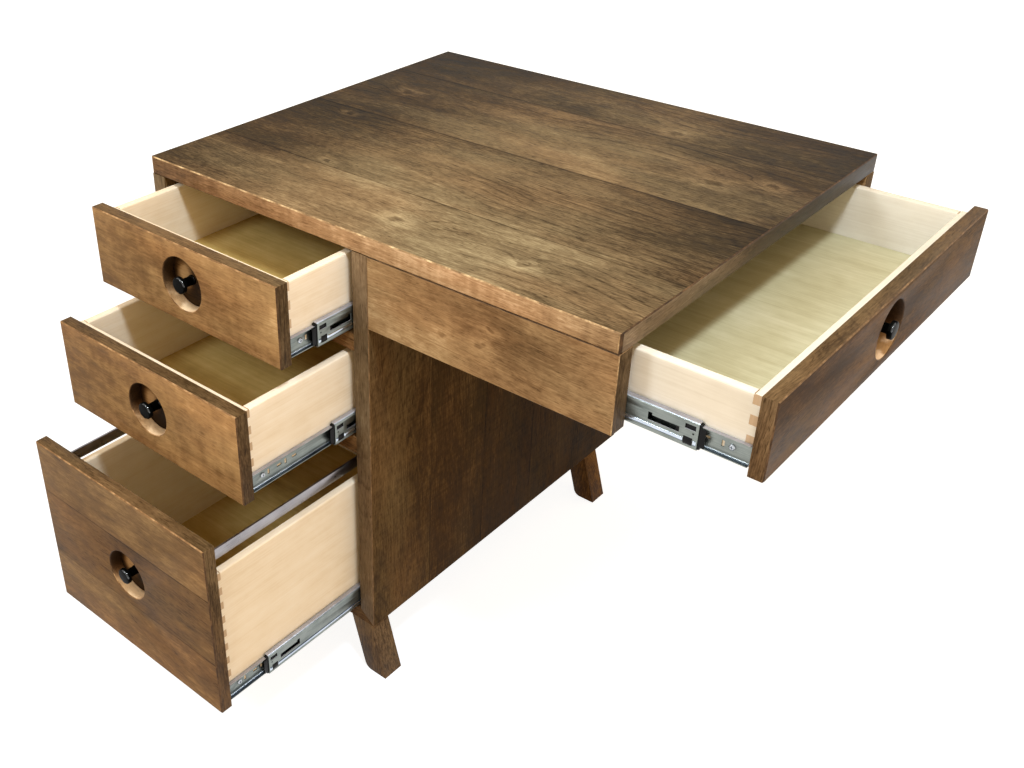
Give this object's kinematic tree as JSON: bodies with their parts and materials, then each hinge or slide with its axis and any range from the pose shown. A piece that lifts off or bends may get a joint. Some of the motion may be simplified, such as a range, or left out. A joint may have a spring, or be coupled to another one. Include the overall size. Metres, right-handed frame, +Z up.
{
  "type": "writing desk",
  "caption": "Writing desk on a drawer pedestal, with a cantilevered kneehole side, a wide shallow drawer that opens sideways, and splayed feet.",
  "frame": {"origin": "on the floor, at the centre of the whole part's footprint with the drawers pulled out as stored", "axes": "+X towards the right end, where the wide drawer opens; +Y from the front towards the back; +Z up"},
  "size_m": [0.998, 0.98, 0.762],
  "materials": {
    "stained_wood": "brown stain under a satin clear coat",
    "pale_maple": "satin clear coat",
    "drawer_plywood": "satin clear coat",
    "zinc_steel": "bright zinc plate on rolled sheet steel",
    "file_bar_metal": "satin",
    "black_plastic": "matt moulded",
    "black_knob": "satin black"
  },
  "bodies": {
    "cabinet": {"top": "stained_wood", "left_panel": "stained_wood", "right_panel": "stained_wood", "back_panel": "stained_wood", "bottom_panel": "stained_wood", "drawer_rails": "stained_wood", "front_apron": "stained_wood", "back_apron": "stained_wood", "foot_front_left": "stained_wood", "foot_front_right": "stained_wood", "foot_back_left": "stained_wood", "foot_back_right": "stained_wood", "foot_screws": "zinc_steel", "cabinet_members": "zinc_steel", "cabinet_screws": "zinc_steel"},
    "top_slide": {"top_runners": "zinc_steel", "top_cages": "black_plastic"},
    "middle_slide": {"middle_runners": "zinc_steel", "middle_cages": "black_plastic"},
    "file_slide": {"file_runners": "zinc_steel", "file_cages": "black_plastic"},
    "side_slide": {"side_runners": "zinc_steel", "side_cages": "black_plastic"},
    "top_drawer": {"top_drawer_front": "stained_wood", "top_box_front": "pale_maple", "top_box_back": "pale_maple", "top_box_left": "pale_maple", "top_box_right": "pale_maple", "top_bottom": "drawer_plywood", "top_knob": "black_knob", "top_drawer_members": "zinc_steel", "top_screws": "zinc_steel"},
    "middle_drawer": {"middle_drawer_front": "stained_wood", "middle_box_front": "pale_maple", "middle_box_back": "pale_maple", "middle_box_left": "pale_maple", "middle_box_right": "pale_maple", "middle_bottom": "drawer_plywood", "middle_knob": "black_knob", "middle_drawer_members": "zinc_steel", "middle_screws": "zinc_steel"},
    "file_drawer": {"file_drawer_front": "stained_wood", "file_box_front": "pale_maple", "file_box_back": "pale_maple", "file_box_left": "pale_maple", "file_box_right": "pale_maple", "file_bottom": "drawer_plywood", "file_knob": "black_knob", "file_drawer_members": "zinc_steel", "file_screws": "zinc_steel", "file_rails": "file_bar_metal"},
    "side_drawer": {"side_drawer_front": "stained_wood", "side_box_front": "pale_maple", "side_box_back": "pale_maple", "side_box_left": "pale_maple", "side_box_right": "pale_maple", "side_bottom": "drawer_plywood", "side_knob": "black_knob", "side_drawer_members": "zinc_steel", "side_screws": "zinc_steel"}
  },
  "joints": [
    {"name": "top_runner_slide", "type": "slide", "parent": "cabinet", "child": "top_slide", "axis": [0, -1, 0], "range_m": [-0.092, 0.183]},
    {"name": "top_drawer_slide", "type": "slide", "parent": "top_slide", "child": "top_drawer", "axis": [0, -1, 0], "range_m": [-0.039, 0.236]},
    {"name": "middle_runner_slide", "type": "slide", "parent": "cabinet", "child": "middle_slide", "axis": [0, -1, 0], "range_m": [-0.067, 0.208]},
    {"name": "middle_drawer_slide", "type": "slide", "parent": "middle_slide", "child": "middle_drawer", "axis": [0, -1, 0], "range_m": [-0.144, 0.131]},
    {"name": "file_runner_slide", "type": "slide", "parent": "cabinet", "child": "file_slide", "axis": [0, -1, 0], "range_m": [-0.219, 0.056]},
    {"name": "file_drawer_slide", "type": "slide", "parent": "file_slide", "child": "file_drawer", "axis": [0, -1, 0], "range_m": [-0.065, 0.21]},
    {"name": "side_runner_slide", "type": "slide", "parent": "cabinet", "child": "side_slide", "axis": [1, 0, 0], "range_m": [-0.117, 0.033]},
    {"name": "side_drawer_slide", "type": "slide", "parent": "side_slide", "child": "side_drawer", "axis": [1, 0, 0], "range_m": [-0.052, 0.098]}
  ]
}
